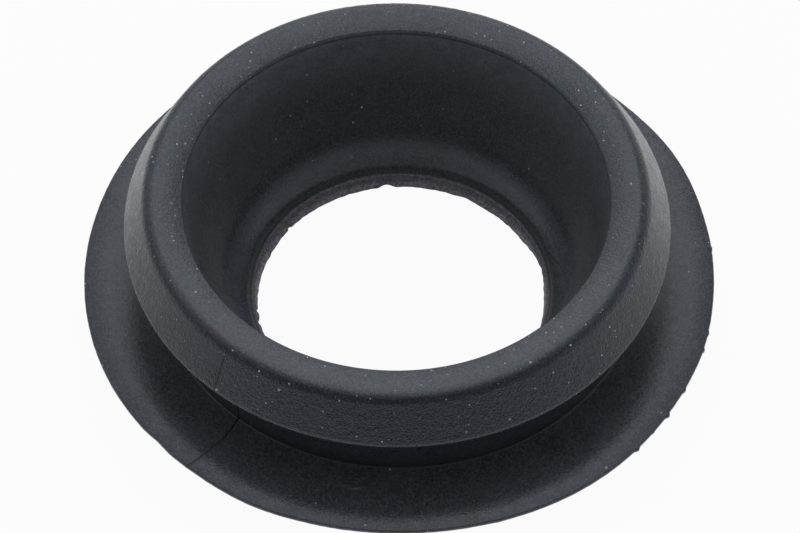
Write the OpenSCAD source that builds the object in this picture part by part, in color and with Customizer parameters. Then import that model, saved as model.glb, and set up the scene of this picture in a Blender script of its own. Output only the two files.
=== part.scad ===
// Trunk lock seal: one soft rubber ring, moulded in a single shot.
// It plugs the body hole round a lock barrel. The head is pushed through the panel and snaps
// out behind it, the wide feather-edged flange lies on the panel's outer side, and the lock
// barrel passes down the tapered pocket and through the hole in its floor.
// The ring stands on the flat round its hole, head up, with its axis on Z and its base at z = 0.

/* [Flange] */
// Overall diameter of the flange
flange_d = 50; // [47:0.5:60]
// Height of the flange's seating face above the base
flange_z = 3.9; // [3.2:0.1:6]
// Thickness left at the flange's feather edge
flange_tip = 0.35; // [0.3:0.05:1]
// Slope of the flange's underside, in degrees from horizontal
flange_slope = 25; // [22:1:35]
// Radius that blends the sloping underside into the flat base ring
base_round = 12; // [4:0.5:14]

/* [Neck and panel groove] */
// Diameter of the neck that fills the panel hole
neck_d = 38.1; // [36:0.1:40]
// Open height of the panel groove, from the flange to the lip
groove_gap = 5.95; // [3:0.05:8]
// Fillet at both corners of the groove
groove_round = 0.6; // [0.2:0.1:1.2]

/* [Head] */
// Diameter over the retaining lip
lip_d = 43; // [41.5:0.1:46]
// Radius on the lip's edge
lip_round = 0.2; // [0.1:0.05:0.5]
// Height of the tapered flank, from the lip up to the rim
flank_h = 4; // [3:0.1:7]
// Diameter at the outer edge of the rim
rim_d = 38.9; // [37:0.1:41]
// Radius on the rim's outer edge
rim_round = 1; // [0.2:0.1:1.4]
// How far the rim's face falls from its outer edge to the mouth
rim_fall = 0.4; // [0:0.1:1]

/* [Lock pocket] */
// Diameter of the pocket's mouth
mouth_d = 33.4; // [31:0.1:35]
// Radius on the edge of the mouth
mouth_round = 0.15; // [0.1:0.05:0.5]
// Mean draft of the pocket's wall, in degrees from the axis
wall_draft = 15.5; // [8:0.5:18]
// How far the wall's corner stands out, halfway down, from a straight taper
wall_bow = 0.65; // [0.2:0.05:1]
// Radius of the sweep that takes the wall round that corner
wall_round = 30; // [10:1:40]
// Slope of the funnel-shaped floor, in degrees from horizontal
floor_slope = 35; // [25:1:40]
// Radius between the pocket's wall and its floor
floor_round = 4.4; // [1:0.2:5]
// Diameter of the hole for the lock barrel
lock_d = 23.4; // [21:0.1:24.5]
// Height at which the floor, run inwards, meets the hole
land_h = 1.55; // [0.8:0.05:1.8]
// Radius where the floor turns down into the hole
land_round = 1.1; // [0.1:0.1:1.4]

/* [Hidden] */
fine = 192;
// A rounding's sliver reaches this far past its corner
overlap = 0.1;
// Its arc is drawn this much full, so that it crosses both faces instead of only touching them
arc_full = 1.001;
// Two roundings on one side take at most this share of its length
side_used = 0.9;
rubber_black = [0.21, 0.22, 0.25];

// Heights of the section's steps, from the base up
lip_z = flange_z + groove_gap;
rim_z = lip_z + flank_h;
mouth_z = rim_z - rim_fall;

// The underside's cone, run down from the flange's edge, meets the base plane here
base_r = flange_d / 2 - (flange_z - flange_tip) / tan(flange_slope);

// The pocket's wall, run down from the mouth, meets the floor, run out from the hole, here
pocket_z = (land_h + ((mouth_d - lock_d) / 2 - mouth_z * tan(wall_draft)) * tan(floor_slope))
    / (1 - tan(wall_draft) * tan(floor_slope));
pocket_r = mouth_d / 2 - (mouth_z - pocket_z) * tan(wall_draft);

// Halfway down, the wall bows out into the rubber, square to its mean draft
waist_r = (mouth_d / 2 + pocket_r) / 2 + wall_bow * cos(wall_draft);
waist_z = (mouth_z + pocket_z) / 2 - wall_bow * sin(wall_draft);

// The section's sharp corners as [radius, height, rounding], from the hole outwards and over
// the head back to the hole
CORNERS = [
    [lock_d / 2, 0, 0],
    [base_r, 0, base_round],
    [flange_d / 2, flange_z - flange_tip, flange_tip / 3],
    [flange_d / 2, flange_z, flange_tip / 3],
    [neck_d / 2, flange_z, groove_round],
    [neck_d / 2, lip_z, groove_round],
    [lip_d / 2, lip_z, lip_round],
    [rim_d / 2, rim_z, rim_round],
    [mouth_d / 2, mouth_z, mouth_round],
    [waist_r, waist_z, wall_round],
    [pocket_r, pocket_z, floor_round],
    [lock_d / 2, land_h, land_round],
];

count = len(CORNERS);
function corner(i) = CORNERS[(i + count) % count];
function point(i) = [corner(i)[0], corner(i)[1]];
function unit(v) = v / norm(v);
function towards(i, j) = unit(point(j) - point(i));
function half_angle(i) = acos(towards(i, i - 1) * towards(i, i + 1)) / 2;
// Above zero where the outline turns outwards, below zero in an inside corner
function turn(i) = cross(point(i) - point(i - 1), point(i + 1) - point(i));

// How far a rounding runs along the faces beside it, and how much of it side i has room for
function reach(i) = corner(i)[2] / tan(half_angle(i));
function room(i) = side_used * norm(point(i + 1) - point(i)) / (reach(i) + reach(i + 1));
function fitting(i) = min(1, room(i - 1), room(i));

// The sliver between corner i and the arc that rounds it
module corner_sliver(i) {
    radius = corner(i)[2] * fitting(i);
    run = reach(i) * fitting(i);
    inwards = unit(towards(i, i - 1) + towards(i, i + 1));
    centre = point(i) + inwards * radius / sin(half_angle(i));
    tip = point(i) - inwards * overlap;
    difference() {
        polygon([tip, point(i) + towards(i, i - 1) * run, centre, point(i) + towards(i, i + 1) * run]);
        translate(centre) circle(radius * arc_full, $fn = fine);
    }
}

// Half of the ring's section: inside corners are filled with a sliver, outer ones lose it
module section() {
    rounded = [for (i = [0 : count - 1]) if (corner(i)[2] > 0) i];
    difference() {
        union() {
            polygon([for (i = [0 : count - 1]) point(i)]);
            for (i = rounded) if (turn(i) < 0) corner_sliver(i);
        }
        for (i = rounded) if (turn(i) > 0) corner_sliver(i);
    }
}

module lock_seal() {
    color(rubber_black) rotate_extrude($fn = fine) section();
}

lock_seal();
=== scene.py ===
# %% [markdown]
# # A moulded rubber lock seal
# This lesson dresses one part: the soft ring that seals a lock barrel in a body panel. The
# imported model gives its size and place. Here it gets the finish of moulded black rubber: a
# blasted grain on the head, the mould's parting line, torn flash in the hole, and dust.
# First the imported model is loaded, and its box is kept, because nothing may grow past it.

import math

import bmesh
import bpy
from mathutils import Matrix, Vector, noise


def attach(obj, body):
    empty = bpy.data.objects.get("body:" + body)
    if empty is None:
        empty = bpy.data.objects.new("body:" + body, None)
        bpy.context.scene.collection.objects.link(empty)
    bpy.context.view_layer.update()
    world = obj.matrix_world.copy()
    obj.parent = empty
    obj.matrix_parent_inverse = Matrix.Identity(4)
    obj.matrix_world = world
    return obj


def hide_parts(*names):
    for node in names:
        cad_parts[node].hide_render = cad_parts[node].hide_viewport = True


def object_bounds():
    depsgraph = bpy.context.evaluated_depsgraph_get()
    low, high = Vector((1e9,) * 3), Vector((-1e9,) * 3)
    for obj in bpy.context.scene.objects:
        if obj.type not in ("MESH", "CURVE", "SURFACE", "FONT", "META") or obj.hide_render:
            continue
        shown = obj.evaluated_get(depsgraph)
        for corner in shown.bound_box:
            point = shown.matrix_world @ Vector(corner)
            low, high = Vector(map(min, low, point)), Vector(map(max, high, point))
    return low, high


MM = 0.001
SEAL = "lock_seal"

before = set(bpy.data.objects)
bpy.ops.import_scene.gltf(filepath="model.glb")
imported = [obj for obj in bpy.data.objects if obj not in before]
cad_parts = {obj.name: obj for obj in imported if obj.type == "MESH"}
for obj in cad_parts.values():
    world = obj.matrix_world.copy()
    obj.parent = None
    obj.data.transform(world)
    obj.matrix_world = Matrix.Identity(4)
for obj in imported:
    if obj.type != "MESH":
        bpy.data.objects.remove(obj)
cad_low, cad_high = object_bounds()
print("CAD box, mm:", [round(side / MM, 2) for side in cad_high - cad_low])

# %% [markdown]
# ## The camera
# A small part is best seen from a little over a foot away with a long lens, so that near and
# far edges have nearly the same scale. The camera stands in front of the seal and looks down
# at its flange. It is placed by an elevation and a distance from the point it aims at, and
# turned to look back along that line. A lens in millimetres is the focal length in pixels,
# times the sensor's width over the frame's width.

# %% Set up the camera
FRAME_WIDTH = 800
SENSOR_WIDTH = 36.0
FOCAL_PIXELS = 4565
ELEVATION = math.radians(52.8)
ROLL = math.radians(0.2)
DISTANCE = 361.75 * MM
AIM = Vector((0.04, 0.21, 4.08)) * MM
NEAR_CLIP, FAR_CLIP = 1 / 20, 60

toward_camera = Vector((0, -math.cos(ELEVATION), math.sin(ELEVATION)))
camera_data = bpy.data.cameras.new("camera")
camera_data.sensor_width = SENSOR_WIDTH
camera_data.lens = FOCAL_PIXELS * SENSOR_WIDTH / FRAME_WIDTH
camera_data.clip_start = DISTANCE * NEAR_CLIP
camera_data.clip_end = DISTANCE * FAR_CLIP
camera = bpy.data.objects.new("camera", camera_data)
bpy.context.scene.collection.objects.link(camera)
look = toward_camera.to_track_quat("Z", "Y").to_matrix() @ Matrix.Rotation(ROLL, 3, "Z")
camera.matrix_world = Matrix.Translation(AIM + toward_camera * DISTANCE) @ look.to_4x4()
bpy.context.scene.camera = camera
print("lens, mm:", round(camera_data.lens, 1))

# %% [markdown]
# ## The section
# The seal is the same all the way round, so one half section describes it. Each corner has
# a radius from the axis, a height, and the rounding that the mould's cutter left there. A
# flat face with these corners is the start. Reading the outline from the hole: the
# base, the feather edge of the flange, the groove for the panel, the lip, the sloping
# flank, the rim, a fine undercut just inside the mouth, where the two parts of the core met,
# then down the bowed wall of the pocket to its floor, and over the floor's brow to the ledge
# where the skin that closed the hole was torn away.

# %% Give the section its corners
FLANGE_R = cad_high.x
FLANGE_Z = 3.9 * MM
TIP = 0.35 * MM
BASE_R = 17.39 * MM
NECK_R = 19.05 * MM
LIP_R = 21.5 * MM
LIP_Z = 9.85 * MM
RIM_R = 19.45 * MM
RIM_Z = 13.85 * MM
MOUTH_R = 16.7 * MM
MOUTH_Z = 13.45 * MM
UNDERCUT_Z = 13.1 * MM
UNDERCUT_DEEP, UNDERCUT_HALF = 0.08 * MM, 0.1 * MM
UNDERCUT_TOP, UNDERCUT_LOW = UNDERCUT_Z + UNDERCUT_HALF, UNDERCUT_Z - UNDERCUT_HALF
WAIST_R = 15.88 * MM
WAIST_Z = 8.07 * MM
POCKET_R = 13.81 * MM
POCKET_Z = 3.03 * MM
BROW_R = 12.12 * MM
BROW_Z = 1.84 * MM
BASE_SWEEP, WAIST_SWEEP, POCKET_SWEEP = 12 * MM, 30 * MM, 4.4 * MM
LAND_R = 11.83 * MM
LAND_Z = 1.11 * MM
LEDGE, LEDGE_RISE = 0.1 * MM, 0.1 * MM / 3
FLASH_R = 11.4 * MM

def wall_r(z):
    """The radius of the pocket's upper wall at a height."""
    return MOUTH_R + (z - MOUTH_Z) * (MOUTH_R - WAIST_R) / (MOUTH_Z - WAIST_Z)

# name: (radius, height, rounding)
CORNERS = {
    "flash": (FLASH_R, 0, 0.05 * MM),
    "base": (BASE_R, 0, BASE_SWEEP),
    "tip_low": (FLANGE_R, FLANGE_Z - TIP, TIP / 3),
    "tip_high": (FLANGE_R, FLANGE_Z, TIP / 3),
    "neck_low": (NECK_R, FLANGE_Z, 0.15 * MM),
    "neck_high": (NECK_R, LIP_Z, 0.6 * MM),
    "lip": (LIP_R, LIP_Z, 0.2 * MM),
    "rim": (RIM_R, RIM_Z, 1 * MM),
    "mouth": (MOUTH_R, MOUTH_Z, 0.15 * MM),
    "under_top": (wall_r(UNDERCUT_TOP), UNDERCUT_TOP, 0),
    "under": (wall_r(UNDERCUT_Z) + UNDERCUT_DEEP, UNDERCUT_Z, 0),
    "under_low": (wall_r(UNDERCUT_LOW), UNDERCUT_LOW, 0),
    "waist": (WAIST_R, WAIST_Z, WAIST_SWEEP),
    "pocket": (POCKET_R, POCKET_Z, POCKET_SWEEP),
    "brow": (BROW_R, BROW_Z, 0.9 * MM),
    "ledge": (LAND_R + LEDGE, LAND_Z + LEDGE_RISE, 0),
    "land": (LAND_R, LAND_Z, 0),
}

section = bmesh.new()
corner = {name: section.verts.new((r, 0, z)) for name, (r, z, rounding) in CORNERS.items()}
section.faces.new(corner.values())
print("section corners:", len(section.verts))

# %% [markdown]
# ## Rounding the corners
# A bevel on a single vertex of a flat face cuts the corner off with an arc. Its offset is
# the distance from the corner to where the arc begins, which is the radius over the tangent
# of half the corner's angle. The number of segments grows with the arc's length, so that a
# wide sweep stays smooth and a sharp edge stays cheap.

# %% Round each corner
ARC_STEP = 0.28 * MM
FEWEST, MOST = 2, 8

def round_corner(mesh, vertex, radius):
    """Cuts one corner of the flat section with an arc of that radius."""
    sides = [edge.other_vert(vertex).co - vertex.co for edge in vertex.link_edges]
    angle = sides[0].angle(sides[1])
    arc = radius * (math.pi - angle)
    segments = max(FEWEST, min(MOST, round(arc / ARC_STEP)))
    bmesh.ops.bevel(
        mesh,
        geom=[vertex],
        affect="VERTICES",
        offset=radius / math.tan(angle / 2),
        offset_type="OFFSET",
        segments=segments,
        profile=0.5,
        material=-1,
    )

for name, (r, z, rounding) in CORNERS.items():
    if rounding > 0:
        round_corner(section, corner[name], rounding)
print("points after rounding:", len(section.verts))

# %% [markdown]
# ## Rows along the straight sides
# A straight side needs no more points to look straight, but the grain, the parting line and
# the torn edges need vertices to move. Each long side is cut into rows: close together on
# the flank, where the grain is, and wider apart where the rubber is smooth. Only the edges
# are wanted for the spin, so the face itself is then deleted.

# %% Cut the sides into rows
FLANK_ROW = 0.16 * MM
PLAIN_ROW = 2 * MM
LAND_ROW = 0.2 * MM
MARGIN = 0.1 * MM

def on_flank(point):
    """True on the sloping outside of the head, between the lip and the rim."""
    return point.x > RIM_R - MARGIN and point.z > LIP_Z + MARGIN / 2

def on_land(point):
    """True on the torn wall of the hole."""
    return point.x < LAND_R and 0 < point.z < LAND_Z

for edge in list(section.edges):
    middle = (edge.verts[0].co + edge.verts[1].co) / 2
    row = FLANK_ROW if on_flank(middle) else LAND_ROW if on_land(middle) else PLAIN_ROW
    cuts = math.ceil(edge.calc_length() / row) - 1
    if cuts > 0:
        bmesh.ops.subdivide_edges(section, edges=[edge], cuts=cuts)
bmesh.ops.delete(section, geom=section.faces[:], context="FACES_ONLY")
print("rows in the section:", len(section.verts))

# %% [markdown]
# ## Spinning the ring
# The spin carries the outline round the axis and skins it as it goes. Nine hundred steps
# keep the flange's edge round and leave about a seventh of a millimetre between vertices,
# which is enough for the grain. Each step of a spin reads the whole mesh again, so a long
# one gets slow. Here the outline is spun through one short sector, a second spin sets copies
# of that sector side by side, and merging the doubled vertices closes the ring with no seam.

# %% Spin the section round the axis
SECTORS = 30
SECTOR_STEPS = 30
UP = Vector((0, 0, 1))
CENTRE = Vector((0, 0, 0))
MERGE = 0.002 * MM

seal_mesh = section
sector_angle = math.tau / SECTORS
bmesh.ops.spin(
    seal_mesh,
    geom=seal_mesh.verts[:] + seal_mesh.edges[:],
    cent=CENTRE,
    axis=UP,
    angle=sector_angle,
    steps=SECTOR_STEPS,
)
bmesh.ops.spin(
    seal_mesh,
    geom=seal_mesh.verts[:] + seal_mesh.edges[:] + seal_mesh.faces[:],
    cent=CENTRE,
    axis=UP,
    angle=math.tau - sector_angle,
    steps=SECTORS - 1,
    use_duplicate=True,
)
bmesh.ops.remove_doubles(seal_mesh, verts=seal_mesh.verts, dist=MERGE)
print("faces in the ring:", len(seal_mesh.faces))

# %% [markdown]
# ## The parting line
# The mould opens in two halves, and the rubber creeps a little into the joint between them.
# On the seal this leaves one fine line across the flank, the neck and the flange, and
# another exactly opposite. A plane through the axis cuts both at once. More cuts close
# beside it give the line its banks, so that only the middle rows have to sink.

# %% Cut rows for the parting line
PARTING = math.radians(229.5)
PARTING_ROWS = [-0.16 * MM, -0.055 * MM, 0, 0.055 * MM, 0.16 * MM]
ON_PLANE = 0.001 * MM

across_parting = Vector((-math.sin(PARTING), math.cos(PARTING), 0))
for offset in PARTING_ROWS:
    bmesh.ops.bisect_plane(
        seal_mesh,
        geom=seal_mesh.verts[:] + seal_mesh.edges[:] + seal_mesh.faces[:],
        dist=ON_PLANE,
        plane_co=across_parting * offset,
        plane_no=across_parting,
    )
bmesh.ops.recalc_face_normals(seal_mesh, faces=seal_mesh.faces)
seal_mesh.normal_update()
print("triangles:", sum(len(face.verts) - 2 for face in seal_mesh.faces))

# %% [markdown]
# ## Helpers for small changes of shape
# What is left is irregular: it belongs to one place on the ring and fades out round it. Each
# change is a weight from 0 to 1, by the angle round the axis or by the place in the section,
# times a small distance. Two helpers give those weights, and a vertex's place in the section
# is read before anything has moved. Five weights are also kept on the vertices themselves,
# for the material to read: where there is grain, where a mould line runs or shade is painted,
# where light is painted, where it is torn and painted lighter, and where it is open to dust.

# %% Write the helpers
def around(vertex):
    """The angle of a vertex round the axis, in degrees from 0 to 360."""
    return math.degrees(math.atan2(vertex.co.y, vertex.co.x)) % 360

def ease(low, high, value):
    """0 below low and 1 above high, with a soft start and end."""
    share = max(0.0, min(1.0, (value - low) / (high - low)))
    return share * share * (3 - 2 * share)

def swell(angle, centre, half_width):
    """1 at the centre angle, easing to 0 at half_width to either side, in degrees."""
    away = abs((angle - centre + 180) % 360 - 180)
    return 1 - ease(0, half_width, away)

def outward(vertex):
    """The level direction from the axis to a vertex."""
    return Vector((vertex.co.x, vertex.co.y, 0)).normalized()

WEIGHTS = ("grain", "seam_and_shade", "painted_light", "torn_and_light", "open")
for name in WEIGHTS:
    seal_mesh.verts.layers.float.new(name)
grain, seam_and_shade, painted_light, torn_and_light, open_air = [seal_mesh.verts.layers.float[name] for name in WEIGHTS]
place = {v: (math.hypot(v.co.x, v.co.y), v.co.z, around(v)) for v in seal_mesh.verts}
facing = {v: v.normal.copy() for v in seal_mesh.verts}
print("vertices to shape:", len(place))

# %% [markdown]
# ## The grain of the head
# The mould's cavity for the flank was blasted with grit, and the rubber copies it as a fine
# leathery grain. All other faces are smooth. The coarser part of the grain is real shape:
# noise pushes the flank's vertices in and out along their normals. A weight painted on the
# vertices keeps it off the rim and the lip, and the material reads the same weight for the
# grain that is too fine for vertices. The neck is left as the cutter made it: a fainter grain
# that only the material shows, whose dark pits are also painted shade in the groove under
# the lip.

# %% Push the grain into the flank
GRAIN_DEPTH = 0.02 * MM
GRAIN_SIZE = 0.3 * MM
GRAIN_FROM, GRAIN_TO = LIP_Z + 0.02 * MM, RIM_Z - 0.35 * MM
FADE_LOW, FADE_HIGH = 0.12 * MM, 0.24 * MM
NECK_GRAIN_AND_SHADE = 0.6
NECK_FROM = FLANGE_Z + 0.2 * MM
AROUND_NECK = 1 * MM

for vertex, (r, z, angle) in place.items():
    if r < NECK_R - MARGIN:
        continue
    on_slope = ease(GRAIN_FROM, GRAIN_FROM + FADE_LOW, z)
    below_rim = 1 - ease(GRAIN_TO, GRAIN_TO + FADE_HIGH, z)
    vertex[grain] = on_slope * below_rim
    height = noise.noise(vertex.co / GRAIN_SIZE) * GRAIN_DEPTH
    vertex.co += facing[vertex] * height * vertex[grain]
    # the neck's grain weight also darkens it with its pits: painted shade in the groove under
    # the lip
    if NECK_FROM < z < LIP_Z and r < NECK_R + AROUND_NECK:
        vertex[grain] = NECK_GRAIN_AND_SHADE
print("grained vertices:", sum(vertex[grain] > 0 for vertex in seal_mesh.verts))

# %% [markdown]
# ## Sinking the parting line
# The middle row of the line sinks about a tenth of a millimetre, which is what a thumbnail
# can just feel. Where the neck meets the flange, the two mould halves meet in a corner that
# is hard to polish, so there the line opens to a small nick. The mould's edge is worn, so on
# the flange the line strays a little to one side: a few distances, each at its radius, say
# how far. The line also holds dirt, which is a weight for the material.

# %% Sink the parting line
FLANK_LINE, FLANGE_LINE = 0.12 * MM, 0.06 * MM
LINE_TOP = RIM_Z - 0.4 * MM
NICK_DEPTH = 0.2 * MM
NICK_R = NECK_R + 0.5 * MM
NICK_FULL, NICK_REACH = 0.44 * MM, 1.1 * MM
NICK_BANK = 0.4
BANK, MIDDLE = 0.06 * MM, 0.005 * MM
BANK_DIRT = 0.35
OUTSIDE_R = MOUTH_R + 1.5 * MM
# radius: distance to the side
STRAY = {
    19.3 * MM: 0, 20.9 * MM: 0.4 * MM, 22.1 * MM: 0.17 * MM, 23.1 * MM: 0.22 * MM,
    23.8 * MM: 0.08 * MM, 25 * MM: 0,
}
STRAY_FULL, STRAY_REACH = 0.1 * MM, 1.4 * MM
along_parting = Vector((math.cos(PARTING), math.sin(PARTING), 0))

def stray_at(r):
    """How far the line has strayed at a radius, between the two nearest given ones."""
    radii = sorted(STRAY)
    for low, high in zip(radii, radii[1:]):
        if low <= r <= high:
            share = (r - low) / (high - low)
            return STRAY[low] * (1 - share) + STRAY[high] * share
    return 0

for vertex, (r, z, angle) in place.items():
    off_line = abs(vertex.co.dot(across_parting))
    if r < OUTSIDE_R or z < FLANGE_Z - TIP or z > LINE_TOP:
        continue
    if off_line < BANK:
        in_middle = off_line < MIDDLE
        to_corner = math.hypot(r - NICK_R, z - FLANGE_Z)
        nick = NICK_DEPTH * (1 - ease(NICK_FULL, NICK_REACH, to_corner))
        line = FLANK_LINE if z > LIP_Z else FLANGE_LINE
        vertex.co -= facing[vertex] * (line + nick if in_middle else nick * NICK_BANK)
        vertex[seam_and_shade] = 1 if in_middle else BANK_DIRT
    if abs(z - FLANGE_Z) < MERGE and vertex.co.dot(along_parting) > 0:
        beside = 1 - ease(STRAY_FULL, STRAY_REACH, off_line)
        vertex.co += across_parting * stray_at(r) * beside
print("seam vertices:", sum(vertex[seam_and_shade] > 0 for vertex in seal_mesh.verts))

# %% [markdown]
# ## A soft edge
# The flange ends in a feather edge that is only a third of a millimetre thick, and soft
# rubber doesn't cool to a perfect circle. The edge swells and draws in by about a tenth of a
# millimetre round the ring, and small nibs of flash stand where it was torn from the sprue.
# The swellings fade out towards the neck, and the nibs touch the outermost rows only.

# %% Shape the flange's edge
# (angle, half width in degrees, distance outwards)
EDGE_SWELLS = [
    (28, 16, 0.17 * MM), (0, 22, -0.06 * MM), (342, 10, 0.04 * MM), (306, 26, 0.15 * MM),
    (270, 24, -0.06 * MM), (243, 12, 0.11 * MM), (221.5, 4, -0.1 * MM), (205, 22, 0.06 * MM),
    (166, 22, -0.07 * MM),
]
EDGE_NIBS = [
    (5.4, 0.8, 0.09 * MM), (342.2, 0.7, 0.11 * MM), (346.1, 0.7, 0.09 * MM),
    (332.6, 0.9, 0.12 * MM), (326.3, 0.9, 0.19 * MM), (317.1, 0.9, 0.17 * MM),
    (321.8, 0.8, 0.05 * MM), (287.7, 0.8, 0.04 * MM),
]
FEATHER_R = FLANGE_R - 4.5 * MM
EDGE_FROM, EDGE_FULL = FLANGE_R - 0.25 * MM, FLANGE_R - 0.05 * MM
EDGE_ROUGH = 0.018 * MM
EDGE_ROUGH_SIZE = 0.5 * MM

def pushed(angle, bumps):
    """How far the bumps of a list move an edge outwards at an angle."""
    return sum(swell(angle, centre, half_width) * out for centre, half_width, out in bumps)

for vertex, (r, z, angle) in place.items():
    if r < FEATHER_R or z > FLANGE_Z + MERGE:
        continue
    feather = ease(FEATHER_R, FLANGE_R, r)
    edge = ease(EDGE_FROM, EDGE_FULL, r)
    move = pushed(angle, EDGE_SWELLS) * feather + pushed(angle, EDGE_NIBS) * edge
    move += (noise.noise(vertex.co / EDGE_ROUGH_SIZE) - 1) * EDGE_ROUGH * edge
    vertex.co += outward(vertex) * move
print("swells and nibs:", len(EDGE_SWELLS), len(EDGE_NIBS))

# %% [markdown]
# ## The torn flash in the hole
# The hole is moulded closed by a thin skin, which is torn out afterwards. It leaves a ragged
# fringe on the lower edge of the hole: a V where the tear began, a stretch where it came away
# clean, and a fine unevenness all round. Every vertex near the lower edge follows, less and
# less with its distance from it. The torn wall itself is rough too.

# %% Tear the hole's lower edge
# (angle, half width in degrees, distance outwards)
TEARS = [
    (96, 4.2, 0.26 * MM), (17, 17, 0.24 * MM), (141.8, 1.6, 0.16 * MM), (186, 1.2, 0.14 * MM),
    (192, 1.6, 0.15 * MM), (63, 6, 0.1 * MM), (52, 8, -0.05 * MM), (156, 14, -0.07 * MM),
]
TEAR_REACH = 0.8 * MM
TEAR_ROUGH = 0.06 * MM
TEAR_ROUGH_SIZE = 0.55 * MM
LAND_ROUGH = 0.05 * MM
LAND_ROUGH_SIZE = 0.35 * MM
ROUGH_R = LAND_R + 0.11 * MM
ROUGH_FROM, ROUGH_TO = 0.1 * MM, LAND_Z + LEDGE

for vertex, (r, z, angle) in place.items():
    pull = 1 - ease(0, TEAR_REACH, math.hypot(r - FLASH_R, z))
    if pull > 0:
        ragged = noise.noise(vertex.co / TEAR_ROUGH_SIZE) * TEAR_ROUGH
        vertex.co += outward(vertex) * (pushed(angle, TEARS) + ragged) * pull
    if r < ROUGH_R and ROUGH_FROM < z < ROUGH_TO:
        vertex.co += facing[vertex] * noise.noise(vertex.co / LAND_ROUGH_SIZE) * LAND_ROUGH
print("tears:", len(TEARS))

# %% [markdown]
# ## Fading the undercut
# The two parts of the core don't meet quite true, so the undercut below the mouth is only
# there on the far side. Everywhere else its middle row is pushed back level with the wall.

# %% Fade the undercut
UNDERCUT_FROM, UNDERCUT_TO, UNDERCUT_FADE = 12, 168, 22

for vertex, (r, z, angle) in place.items():
    if abs(z - UNDERCUT_Z) < MERGE and r < MOUTH_R + UNDERCUT_HALF:
        there = ease(UNDERCUT_FROM, UNDERCUT_FROM + UNDERCUT_FADE, angle)
        there *= 1 - ease(UNDERCUT_TO - UNDERCUT_FADE, UNDERCUT_TO, angle)
        vertex.co -= outward(vertex) * UNDERCUT_DEEP * (1 - there)
print("undercut, degrees:", UNDERCUT_TO - UNDERCUT_FROM)

# %% [markdown]
# ## Painted light, and torn rubber
# Pale paint stands in for light on these faces. Inside the pocket it is painted light: faint on
# the floor, and on the wall growing towards the mouth, where more of the room's light gets in.
# The corner where the neck meets the flange gets painted shade instead, and the lip's sharp
# edge a painted highlight. The flank has a painted sheen on two sides, most of all on the
# right, where it mirrors the bright table at a grazing angle. The torn wall of the hole is the
# palest place of all: torn rubber is rough and greyer, and it also carries painted light, most
# of all along its lower edge and at its right and left sides.

# %% Paint the light, the shade and the tear
WALL_LIGHT_LOW, WALL_LIGHT_HIGH = 7.5 * MM, 13.5 * MM
POCKET_FLOOR_LIGHT, POCKET_FLOOR_LIGHT_R, POCKET_FLOOR_LIGHT_WIDE = 0.35, 13.2 * MM, 1.4 * MM
MOUTH_FROM = WAIST_Z - 1 * MM
LIP_HIGHLIGHT, LIP_WIDE, LIP_MIDDLE, LIP_HALF = 0.5, 0.25 * MM, LIP_Z + 0.1 * MM, 0.15 * MM
RIGHT_SHEEN, LEFT_SHEEN = 1.25, 0.75
FLANK_TOP = RIM_Z - 0.7 * MM
CORNER_SHADE, CORNER = 0.8, 0.16 * MM
TORN_TOP, TORN_LOW_LIGHT, TORN_RIGHT_LIGHT, TORN_LEFT_LIGHT = 0.32, 0.85, 1.2, 0.72
TORN_EDGE, TORN_FADE = 0.3 * MM, 0.75 * MM
# angle and half width, in degrees
RIGHT, LEFT = (14, 36), (170, 24)
RIGHT_TORN_SIDE, LEFT_TORN_SIDE = (10, 36), (178, 22)

for vertex, (r, z, angle) in place.items():
    # the torn wall's grey, and painted light along its lower edge and at its two sides
    if r < LAND_R + LEDGE / 2 and 0 < z < LAND_Z + LEDGE_RISE / 2:
        lower = 1 - ease(TORN_EDGE, TORN_FADE, z)
        side_light = TORN_RIGHT_LIGHT * swell(angle, *RIGHT_TORN_SIDE) + TORN_LEFT_LIGHT * swell(angle, *LEFT_TORN_SIDE)
        vertex[torn_and_light] = TORN_TOP + (TORN_LOW_LIGHT - TORN_TOP + side_light) * lower
    # painted light on the pocket's floor
    elif r < POCKET_R and BROW_Z < z < WAIST_Z:
        off_middle = abs(r - POCKET_FLOOR_LIGHT_R)
        vertex[painted_light] = POCKET_FLOOR_LIGHT * (1 - ease(0, POCKET_FLOOR_LIGHT_WIDE, off_middle))
    # painted light on the pocket's wall, growing towards the mouth
    elif r < MOUTH_R and z > MOUTH_FROM:
        vertex[painted_light] = ease(WALL_LIGHT_LOW, WALL_LIGHT_HIGH, z)
    # a painted highlight on the lip's edge
    elif r > LIP_R - LIP_WIDE and abs(z - LIP_MIDDLE) < LIP_HALF:
        vertex[painted_light] = LIP_HIGHLIGHT
    # a painted sheen on the flank's two sides
    elif r > RIM_R - MARGIN and LIP_Z < z < FLANK_TOP:
        vertex[painted_light] = max(RIGHT_SHEEN * swell(angle, *RIGHT), LEFT_SHEEN * swell(angle, *LEFT))
    # painted shade in the corner where the neck meets the flange
    elif NECK_R < r < NECK_R + CORNER and FLANGE_Z < z < FLANGE_Z + CORNER:
        vertex[seam_and_shade] = max(vertex[seam_and_shade], CORNER_SHADE)
print("vertices with bloom:", sum(vertex[painted_light] > 0 for vertex in seal_mesh.verts))

# %% [markdown]
# ## Where dust settles
# Dust settles on rubber that is touched and laid down. The head's outside is the dustiest,
# the flange has less, and inside the pocket there is least. One weight says how open each
# place is, and the material reads it for dust, for tinges and for wear.

# %% Paint how open each face is
HEAD_OPEN, FLANGE_OPEN, POCKET_OPEN = 1, 0.26, 0.16

for vertex, (r, z, angle) in place.items():
    if r > MOUTH_R - MARGIN / 2 and z > LIP_Z:
        vertex[open_air] = HEAD_OPEN
    elif r > NECK_R:
        vertex[open_air] = FLANGE_OPEN * ease(NECK_R, FLANGE_R, r)
    else:
        vertex[open_air] = POCKET_OPEN
print("vertices on the open head:", sum(vertex[open_air] == HEAD_OPEN for vertex in place))

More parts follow.
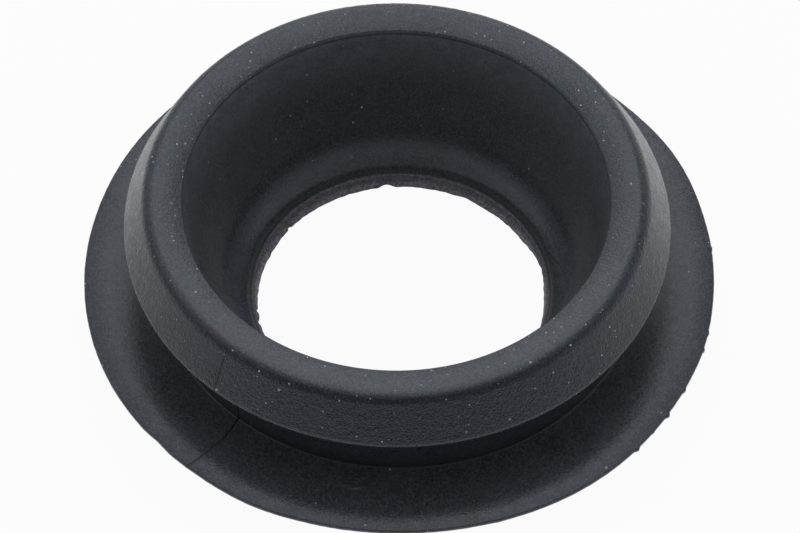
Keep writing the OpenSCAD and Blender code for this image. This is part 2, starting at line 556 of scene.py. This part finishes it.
# %% [markdown]
# ## The head leans a little
# Laid on a table, the soft ring doesn't stand quite true: the head sits a quarter of a
# millimetre to one side of the flange, and the hole the other way. Each height is slid
# sideways in proportion to its distance from the flange, and the feather edge stays put.

# %% Lean the head
LEAN = -0.0297

for vertex, (r, z, angle) in place.items():
    loose = 1 if z > FLANGE_Z else 1 - ease(POCKET_R, FEATHER_R, r)
    vertex.co.x += LEAN * (z - FLANGE_Z) * loose
print("lean at the rim, mm:", round(LEAN * (RIM_Z - FLANGE_Z) / MM, 2))

# %% [markdown]
# ## From shaped mesh to piece
# The bmesh becomes the mesh of one object, because the real seal is one moulded piece. It
# stands for the imported solid and rides on the part's only body.

# %% Make the piece
seal_data = bpy.data.meshes.new(SEAL + "_rubber")
seal_mesh.to_mesh(seal_data)
seal_mesh.free()
seal_data.shade_smooth()
seal = bpy.data.objects.new(SEAL + "_rubber", seal_data)
bpy.context.scene.collection.objects.link(seal)
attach(seal, "root")
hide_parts(SEAL)
print("vertices in the piece:", len(seal_data.vertices))

# %% [markdown]
# ## Helpers for materials
# A finish is a tree of nodes, and a few kinds of node come back in it again and again: a
# noise of a given size, a value stretched to another range, a mix of two colours, a sum, a
# painted weight, and a soft spot round one point. Each gets a short helper, so that the
# cells that follow read as a recipe.

# %% Write the material helpers
def add_node(tree, kind, **settings):
    """Adds a node, and sets its properties or, by their names, its input sockets."""
    node = tree.nodes.new(kind)
    for name, value in settings.items():
        if hasattr(node, name):
            setattr(node, name, value)
        else:
            node.inputs[name.replace("_", " ")].default_value = value
    return node

def noise_of(tree, place_output, size, detail=2.0):
    """A noise round a half, whose features are about that size in metres."""
    node = add_node(tree, "ShaderNodeTexNoise", Scale=1 / size, Detail=detail)
    tree.links.new(place_output, node.inputs["Vector"])
    return node.outputs["Fac"]

def ranged(tree, value, from_range, to_range):
    """Stretches a value from one range to another, and holds it inside the second."""
    node = add_node(tree, "ShaderNodeMapRange")
    node.inputs["From Min"].default_value, node.inputs["From Max"].default_value = from_range
    node.inputs["To Min"].default_value, node.inputs["To Max"].default_value = to_range
    tree.links.new(value, node.inputs["Value"])
    return node.outputs["Result"]

# The Mix node has sockets for numbers, vectors and colours, and these are the colour's
MIX_SHARE, MIX_FIRST, MIX_SECOND, MIX_RESULT = 0, 6, 7, 2

def mixed(tree, share, first, second, blend_type="MIX"):
    """A colour between two others, which are colours or other outputs."""
    node = add_node(tree, "ShaderNodeMix", data_type="RGBA", blend_type=blend_type)
    if isinstance(share, float):
        node.inputs[MIX_SHARE].default_value = share
    else:
        tree.links.new(share, node.inputs[MIX_SHARE])
    for socket, colour in ((node.inputs[MIX_FIRST], first), (node.inputs[MIX_SECOND], second)):
        if isinstance(colour, tuple):
            socket.default_value = (*colour, 1)
        else:
            tree.links.new(colour, socket)
    return node.outputs[MIX_RESULT]

def maths(tree, operation, first, second):
    """One step of arithmetic on two values or outputs."""
    node = add_node(tree, "ShaderNodeMath", operation=operation)
    for socket, value in zip(node.inputs, (first, second)):
        if isinstance(value, (int, float)):
            socket.default_value = value
        else:
            tree.links.new(value, socket)
    return node.outputs[0]

def weight_of(tree, name):
    """A weight that was painted on the vertices."""
    return add_node(tree, "ShaderNodeAttribute", attribute_name=name).outputs["Fac"]

def near(tree, where, centre, reach):
    """1 at a point of the rubber, falling to 0 at that reach from it."""
    away = add_node(tree, "ShaderNodeVectorMath", operation="DISTANCE")
    away.inputs[1].default_value = centre
    tree.links.new(where, away.inputs[0])
    return ranged(tree, away.outputs["Value"], (0, reach), (1, 0))

# %% [markdown]
# ## Black rubber
# Black rubber is a very dark grey with a cold cast. Carbon black and a bloom of wax make it
# cloudy: patches a few millimetres wide, and a finer speckle. One flat colour would look
# like paint, so two noises mix three near blacks. All patterns read Object coordinates, so
# they are fixed in the rubber.

# %% Mix the black
rubber = bpy.data.materials.new("moulded_rubber")
rubber.use_nodes = True
tree = rubber.node_tree
shader = tree.nodes["Principled BSDF"]
where = add_node(tree, "ShaderNodeTexCoord").outputs["Object"]

DARK = (0.036, 0.039, 0.049)
PALE = (0.047, 0.051, 0.064)
FLECK = (0.100, 0.107, 0.130)
CLOUD_SIZE, CLOUD_DETAIL = 3 * MM, 4.0
CLOUD_SPAN = (0.36, 0.64)
FLECK_SIZE, FLECK_SPAN = 0.16 * MM, (0.42, 0.66)
FLECK_MOST = 0.75

clouds = noise_of(tree, where, CLOUD_SIZE, CLOUD_DETAIL)
clouds = ranged(tree, clouds, CLOUD_SPAN, (0, 1))
flecks = ranged(tree, noise_of(tree, where, FLECK_SIZE), FLECK_SPAN, (0, FLECK_MOST))
colour = mixed(tree, flecks, mixed(tree, clouds, DARK, PALE), FLECK)
print("darkest and lightest black:", DARK, FLECK)

# %% [markdown]
# ## Grain, painted light, tear and mould lines
# The painted weights change the black. The pits of the grain swallow light, so the flank's
# own colour is darker than the smooth faces, and most of what shows there is gloss on the
# grain's tops. Painted light is a cloudy pale film, thickest in the pits. Torn rubber is nearly
# grey, in a coarse crumb, and that grey also carries painted light. The mould lines hold dirt,
# and the same dark colour is painted shade in the corner at the neck's foot.

# %% Colour by the painted weights
PIT = (0.005, 0.007, 0.018)
PAINTED_LIGHT_AND_SCUFF = (0.19, 0.207, 0.25)
TORN_GREY_AND_LIGHT = (0.55, 0.53, 0.61)
DIRT_AND_SHADE = (0.004, 0.004, 0.005)
PIT_SIZE, LIGHT_NOISE_SIZE, CRUMB_SIZE = 0.17 * MM, 1.1 * MM, 0.22 * MM
LIGHT_NOISE_DETAIL, CRUMB_DETAIL = 4.0, 3.0
PIT_SPAN, LIGHT_NOISE_SPAN, CRUMB_SPAN = (0.4, 0.7), (0.3, 0.7), (0.4, 0.62)
# how much of each colour shows at the two ends of its noise
PIT_SHARES, LIGHT_NOISE_SHARES, CRUMB_SHARES = (1, 0.45), (0.45, 0.8), (0.35, 1)

pits = ranged(tree, noise_of(tree, where, PIT_SIZE), PIT_SPAN, PIT_SHARES)
pitted = maths(tree, "MULTIPLY", weight_of(tree, "grain"), pits)
colour = mixed(tree, pitted, colour, PIT)
# a pale film of painted light and sheen on the pocket, the lip's edge and the flank's sides
light_noise = noise_of(tree, where, LIGHT_NOISE_SIZE, LIGHT_NOISE_DETAIL)
light_noise = ranged(tree, light_noise, LIGHT_NOISE_SPAN, LIGHT_NOISE_SHARES)
light_noise = maths(tree, "MULTIPLY", light_noise, pits)
colour = mixed(tree, maths(tree, "MULTIPLY", weight_of(tree, "painted_light"), light_noise), colour, PAINTED_LIGHT_AND_SCUFF)
# the torn wall's grey crumb, which also carries painted light
crumb = noise_of(tree, where, CRUMB_SIZE, CRUMB_DETAIL)
crumb = ranged(tree, crumb, CRUMB_SPAN, CRUMB_SHARES)
colour = mixed(tree, maths(tree, "MULTIPLY", weight_of(tree, "torn_and_light"), crumb), colour, TORN_GREY_AND_LIGHT)
# dirt in the mould lines, and painted shade in the corner at the neck's foot
colour = mixed(tree, weight_of(tree, "seam_and_shade"), colour, DIRT_AND_SHADE)
print("palest crumb:", TORN_GREY_AND_LIGHT)

# %% [markdown]
# ## Tinges
# Under a lamp, black rubber shows faint tinges of brown and green, from the oils in it. Each
# tinge multiplies the colour in patches of about a millimetre, mostly where hands have been.

# %% Tinge the black
BROWN_TINGE = (1.18, 0.94, 1.02)
GREEN_TINGE = (0.86, 1.03, 1.0)
UNTINGED = (1, 1, 1)
BROWN_SIZE, GREEN_SIZE = 1.0 * MM, 1.6 * MM
PATCHES = (0.5, 0.72)
UNTOUCHED_TINGE = 0.05

brown = ranged(tree, noise_of(tree, where, BROWN_SIZE), PATCHES, (0, 1))
green = ranged(tree, noise_of(tree, where, GREEN_SIZE), PATCHES, (0, 1))
tinge = mixed(tree, green, mixed(tree, brown, UNTINGED, BROWN_TINGE), GREEN_TINGE)
worn = ranged(tree, weight_of(tree, "open"), (0, 1), (UNTOUCHED_TINGE, 1))
colour = mixed(tree, worn, colour, mixed(tree, 1.0, colour, tinge, blend_type="MULTIPLY"))
print("tinges:", BROWN_TINGE, GREEN_TINGE)

# %% [markdown]
# ## Scuffs
# A few rubbed places are paler than the rest: a patch of short scratches just inside the
# mouth, and a streak on the flange. Each is a noise that is stretched along the wall or
# across the flange, and it only shows near its own point.

# %% Rub the scuffs
# (centre, reach, stretch of the scratches)
SCUFFS = [
    ((-11.7 * MM, 11.3 * MM, 12 * MM), 3 * MM, (1, 1, 0.15)),
    ((-3.2 * MM, -20.9 * MM, 3.9 * MM), 1.8 * MM, (0.12, 1, 1)),
]
SCRATCH_SIZE, SCRATCH_SPAN = 0.22 * MM, (0.5, 0.75)
SCRATCH_MOST = 0.9

for centre, reach, stretch in SCUFFS:
    stretched = add_node(tree, "ShaderNodeMapping")
    stretched.inputs["Scale"].default_value = stretch
    tree.links.new(where, stretched.inputs["Vector"])
    scratches = noise_of(tree, stretched.outputs["Vector"], SCRATCH_SIZE)
    scratches = ranged(tree, scratches, SCRATCH_SPAN, (0, SCRATCH_MOST))
    rubbed = maths(tree, "MULTIPLY", near(tree, where, centre, reach), scratches)
    colour = mixed(tree, rubbed, colour, PAINTED_LIGHT_AND_SCUFF)
print("scuffs:", len(SCUFFS))

# %% [markdown]
# ## Dust
# Rubber charges up and holds white dust. Each cell of a Voronoi pattern has one point, and a
# small ball round it shows wherever the surface cuts it, as a speck. The cell's random
# colour gives every speck its own size and strength, and says whether it is there at all,
# which is more likely where the face is open.

# %% Scatter the dust
DUST = (0.62, 0.63, 0.65)
DUST_CELL = 0.62 * MM
DUST_SMALL, DUST_LARGE = 0.015 * MM, 0.085 * MM
SHELTERED_DUST, OPEN_DUST = 0.02, 1
FAINTEST = 0.25

def specks(tree, where, cell, small, large, density):
    """The strength of round specks with radii between small and large, and 0 between them."""
    cells = add_node(tree, "ShaderNodeTexVoronoi", Scale=1 / cell)
    tree.links.new(where, cells.inputs["Vector"])
    chance = add_node(tree, "ShaderNodeSeparateColor")
    tree.links.new(cells.outputs["Color"], chance.inputs["Color"])
    radius = ranged(tree, chance.outputs["Red"], (0, 1), (small / cell, large / cell))
    inside = maths(tree, "LESS_THAN", cells.outputs["Distance"], radius)
    there = maths(tree, "LESS_THAN", chance.outputs["Blue"], density)
    strength = ranged(tree, chance.outputs["Green"], (0, 1), (FAINTEST, 1))
    return maths(tree, "MULTIPLY", maths(tree, "MULTIPLY", inside, there), strength)

density = ranged(tree, weight_of(tree, "open"), (0, 1), (SHELTERED_DUST, OPEN_DUST))
dusty = specks(tree, where, DUST_CELL, DUST_SMALL, DUST_LARGE, density)
print("largest speck, mm:", 2 * DUST_LARGE / MM)

# %% [markdown]
# ## Crumbs
# The largest crumbs of flash and dust have their own places: one at the end of the parting
# line, one on the edge of the hole, one at the flange's edge, and a few on the head. Each
# place is an angle round the axis, a face of the section, and a share of the way along that
# face. Crumbs on the flank sit a little below it, in the hollows of its grain.

# %% Set the crumbs
FLANGE_FACE, FLANK_FACE = ("neck_low", "tip_high"), ("lip", "rim")
RIM_FACE, LAND_FACE = ("rim", "mouth"), ("flash", "land")
IN_GRAIN = 0.04 * MM
# (angle in degrees, face, share of the way along it, radius)
CRUMBS = [
    (230, FLANK_FACE, 0.1, 0.16 * MM), (244, FLANK_FACE, 0.7, 0.15 * MM),
    (246, FLANK_FACE, 0.88, 0.11 * MM), (284.5, FLANK_FACE, 0.2, 0.12 * MM),
    (294, FLANK_FACE, 0.2, 0.12 * MM), (12, LAND_FACE, 0.5, 0.13 * MM),
    (268, FLANGE_FACE, 0.03, 0.1 * MM), (310, FLANGE_FACE, 0.96, 0.15 * MM),
    (129, RIM_FACE, 0.42, 0.12 * MM), (163, RIM_FACE, 0.8, 0.11 * MM),
]

def on_face(angle, face, share):
    """The place on a face of the section, between its two corners, at an angle in degrees."""
    (start_r, start_z, _), (end_r, end_z, _) = CORNERS[face[0]], CORNERS[face[1]]
    r = start_r + (end_r - start_r) * share - (IN_GRAIN if face == FLANK_FACE else 0)
    z = start_z + (end_z - start_z) * share
    turn = math.radians(angle)
    return Vector((r * math.cos(turn) + LEAN * (z - FLANGE_Z), r * math.sin(turn), z))

for angle, face, share, radius in CRUMBS:
    crumb_there = near(tree, where, on_face(angle, face, share), radius)
    dusty = maths(tree, "MAXIMUM", dusty, crumb_there)
colour = mixed(tree, dusty, colour, DUST)
tree.links.new(colour, shader.inputs["Base Color"])
print("crumbs:", len(CRUMBS))

# %% [markdown]
# ## Gloss
# Moulded rubber has a satin gloss, from the polish of the mould, and it varies as the cloudy
# colour does. Dust, dirt and the torn edge are matt. The gloss of carbon-black rubber is
# faintly cold, which is a colour on the shader's own socket.

# %% Set the gloss
SHEEN_TINT = (0.87, 0.91, 1.0)
SHEEN_LEVEL = 0.55
GLOSS_SIZE, GLOSS_SPAN = 0.9 * MM, (0.3, 0.7)
POLISHED, SATIN = 0.23, 0.34
TORN_MATT, DIRT_MATT, DUST_MATT = 0.3, 0.2, 0.5

roughness = ranged(tree, noise_of(tree, where, GLOSS_SIZE), GLOSS_SPAN, (POLISHED, SATIN))
mattings = [
    (weight_of(tree, "torn_and_light"), TORN_MATT),
    (weight_of(tree, "seam_and_shade"), DIRT_MATT),
    (dusty, DUST_MATT),
]
for weight, matting in mattings:
    roughness = maths(tree, "ADD", roughness, maths(tree, "MULTIPLY", weight, matting))
tree.links.new(roughness, shader.inputs["Roughness"])
shader.inputs["Specular IOR Level"].default_value = SHEEN_LEVEL
shader.inputs["Specular Tint"].default_value = (*SHEEN_TINT, 1)
print("roughness from", POLISHED, "to", SATIN)

# %% [markdown]
# ## Fine grain
# The finest grain is a bump in the material, because it is smaller than the mesh can hold.
# On the flank it is strong, on the torn edge it is coarse, and everywhere else a trace of it
# breaks up the reflections, a little more where the rubber is handled. The distance is the
# real height of the grain.

# %% Raise the fine grain
FINE_SIZE, SOFT_SIZE = 0.15 * MM, 0.35 * MM
PLAIN = 1.0
BUMP_HEIGHT = 0.03 * MM
FINE_SMOOTH, FINE_GRAINED, FINE_HANDLED = 0.36, 1.3, 0.5
SOFT_SMOOTH, SOFT_TORN = 0.35, 2

fine_share = ranged(tree, weight_of(tree, "grain"), (0, 1), (FINE_SMOOTH, FINE_GRAINED))
handled = maths(tree, "MULTIPLY", weight_of(tree, "open"), FINE_HANDLED)
fine_share = maths(tree, "ADD", fine_share, handled)
soft_share = ranged(tree, weight_of(tree, "torn_and_light"), (0, 1), (SOFT_SMOOTH, SOFT_TORN))
fine_height = maths(tree, "MULTIPLY", noise_of(tree, where, FINE_SIZE, PLAIN), fine_share)
soft_height = maths(tree, "MULTIPLY", noise_of(tree, where, SOFT_SIZE, PLAIN), soft_share)
height = maths(tree, "ADD", fine_height, soft_height)
bump = add_node(tree, "ShaderNodeBump", Strength=1.0, Distance=BUMP_HEIGHT)
tree.links.new(height, bump.inputs["Height"])
tree.links.new(bump.outputs["Normal"], shader.inputs["Normal"])
seal_data.materials.append(rubber)
print("nodes in the rubber:", len(tree.nodes))

# %% [markdown]
# ## The floor
# The seal stands on a plain white table. To the camera, and in reflections, most of the
# table's white is a glow of strength 1, so that it stays white whatever the lamps do, and
# the small lit share keeps the shadow. Under the seal and inside the hole hardly any light
# arrives, so there the table carries painted shade: its paint is darker, and it glows only
# to the camera.

# %% Lay the table
FLOOR_HALF = 4
FLOOR_LIT = 0.05
# painted shade: darker paint and a weaker glow in reflections, under the seal and in the hole
SHADED_R, OPEN_R = 13 * MM, 19 * MM
SHADED_GLOW, OPEN_GLOW = 0.1, 0.9
SHADED_PAINT, OPEN_PAINT = (0.25, 0.25, 0.25), (0.8, 0.8, 0.8)
PAINT_ROUGHNESS = 0.9

floor_mesh = bmesh.new()
bmesh.ops.create_grid(floor_mesh, x_segments=1, y_segments=1, size=FLOOR_HALF)
floor_data = bpy.data.meshes.new("floor")
floor_mesh.to_mesh(floor_data)
floor_mesh.free()
floor = bpy.data.objects.new("floor", floor_data)
bpy.context.scene.collection.objects.link(floor)

table = bpy.data.materials.new("white_table")
table.use_nodes = True
tree = table.node_tree
paint = tree.nodes["Principled BSDF"]
paint.inputs["Roughness"].default_value = PAINT_ROUGHNESS
from_axis = add_node(tree, "ShaderNodeVectorMath", operation="LENGTH")
tree.links.new(add_node(tree, "ShaderNodeTexCoord").outputs["Object"], from_axis.inputs[0])
open_table = ranged(tree, from_axis.outputs["Value"], (SHADED_R, OPEN_R), (0, 1))
painted = mixed(tree, open_table, SHADED_PAINT, OPEN_PAINT)
tree.links.new(painted, paint.inputs["Base Color"])

white = add_node(tree, "ShaderNodeEmission", Strength=1.0)
ray = add_node(tree, "ShaderNodeLightPath").outputs
reflected = maths(tree, "MAXIMUM", ray["Is Glossy Ray"], ray["Is Transmission Ray"])
glow = ranged(tree, open_table, (0, 1), (SHADED_GLOW, OPEN_GLOW))
seen = maths(tree, "MAXIMUM", ray["Is Camera Ray"], maths(tree, "MULTIPLY", reflected, glow))
share = maths(tree, "MULTIPLY", seen, 1 - FLOOR_LIT)
blend = add_node(tree, "ShaderNodeMixShader")
tree.links.new(share, blend.inputs["Fac"])
tree.links.new(paint.outputs[0], blend.inputs[1])
tree.links.new(white.outputs[0], blend.inputs[2])
tree.links.new(blend.outputs[0], tree.nodes["Material Output"].inputs["Surface"])
floor_data.materials.append(table)
print("table, m:", 2 * FLOOR_HALF)

# %% [markdown]
# ## The lights
# Black rubber is shown by what it reflects, so it is lit by a tent of soft boxes: one
# overhead, high and lower ones behind the seal, whose reflections give the rim and the
# flange their sheen, one at each side, and three weak ones in front, which open up the
# pocket. Low ones behind and at the sides light the edges that turn away. Every box stands
# on a dome round the seal. Its place is an azimuth and an elevation, and its power is its
# brightness times its area, so that a brightness of 1 looks like a white card.

# %% Hang the soft boxes
DOME = 0.9
AIM_LAMPS = Vector((0, 0, 5 * MM))
TOP, HIGH, WIDE, LONG = (0.45, 0.45), (0.36, 0.36), (0.56, 0.36), (0.68, 0.36)

# name: (azimuth, elevation, size, brightness)
LAMPS = {
    "overhead": (90, 89, TOP, 0.9),
    "high_back": (90, 63, HIGH, 1.4),
    "high_back_right": (45, 63, HIGH, 0.62),
    "high_back_left": (135, 63, HIGH, 0.52),
    "high_left": (180, 63, HIGH, 0.15),
    "back": (90, 38, WIDE, 1.5),
    "back_left": (135, 38, WIDE, 0.34),
    "right": (0, 38, WIDE, 0.36),
    "left": (180, 38, WIDE, 0.45),
    "front_left": (225, 38, WIDE, 0.24),
    "front": (270, 38, WIDE, 0.08),
    "front_right": (315, 38, WIDE, 0.18),
    "low_back": (90, 13, LONG, 0.5),
    "low_back_right": (45, 13, LONG, 0.8),
    "low_back_left": (135, 13, LONG, 0.5),
    "low_right": (0, 13, LONG, 0.6),
    "low_left": (180, 13, LONG, 0.4),
}

for name, (azimuth, elevation, size, brightness) in LAMPS.items():
    box_data = bpy.data.lights.new(name, "AREA")
    box_data.shape = "RECTANGLE"
    box_data.size, box_data.size_y = size
    box_data.energy = brightness * math.pi * size[0] * size[1]
    box = bpy.data.objects.new(name, box_data)
    bpy.context.scene.collection.objects.link(box)
    turn, lift = math.radians(azimuth), math.radians(elevation)
    level = Vector((math.cos(turn), math.sin(turn), 0)) * math.cos(lift)
    box_place = (level + UP * math.sin(lift)) * DOME
    facing_seal = (box_place - AIM_LAMPS).to_track_quat("Z", "Y").to_matrix().to_4x4()
    box.matrix_world = Matrix.Translation(box_place) @ facing_seal
print("lamps, W:", round(sum(lamp.energy for lamp in bpy.data.lights), 2))

# %% [markdown]
# ## The room
# The room gives a faint even light from all sides, which fills the gaps between the boxes.
# Colours are shown as they are, with the standard view.

# %% Light the room
ROOM = 0.19
ROOM_WHITE = (1, 1, 1, 1)

world = bpy.data.worlds.new("studio")
bpy.context.scene.world = world
world.use_nodes = True
backdrop = world.node_tree.nodes["Background"]
backdrop.inputs["Color"].default_value = ROOM_WHITE
backdrop.inputs["Strength"].default_value = ROOM
bpy.context.scene.view_settings.view_transform = "Standard"
print("room:", ROOM)
